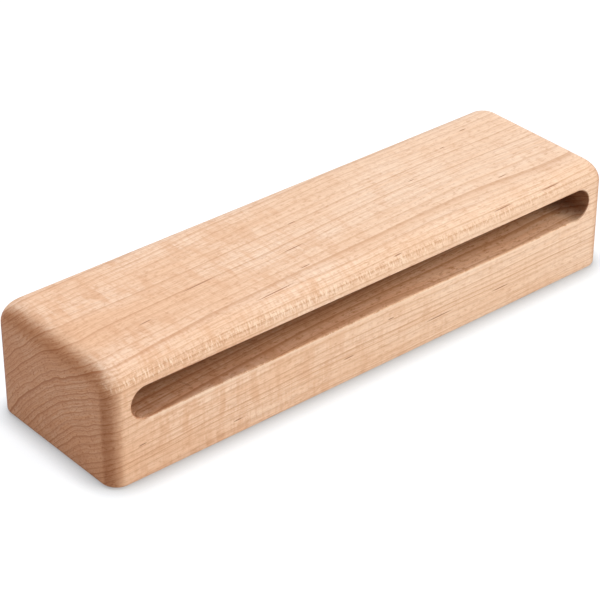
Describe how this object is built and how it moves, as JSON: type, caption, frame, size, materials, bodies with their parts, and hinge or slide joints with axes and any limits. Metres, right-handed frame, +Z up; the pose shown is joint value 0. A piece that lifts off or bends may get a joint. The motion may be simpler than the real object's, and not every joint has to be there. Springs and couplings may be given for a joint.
{
  "type": "wood block",
  "caption": "Solid maple wood block: a long bar with rounded edges and a deep resonance slot below its top plate, played with a stick.",
  "frame": {"origin": "middle of the flat underside, on the surface that the block stands on", "axes": "+X along the block's length, +Y from the slotted front face to the plain back, +Z up to the struck top"},
  "size_m": [0.23, 0.0662, 0.0446],
  "materials": {
    "maple": "thin satin clear coat over sanded hard maple"
  },
  "bodies": {
    "root": {"block_body": "maple"}
  },
  "joints": []
}
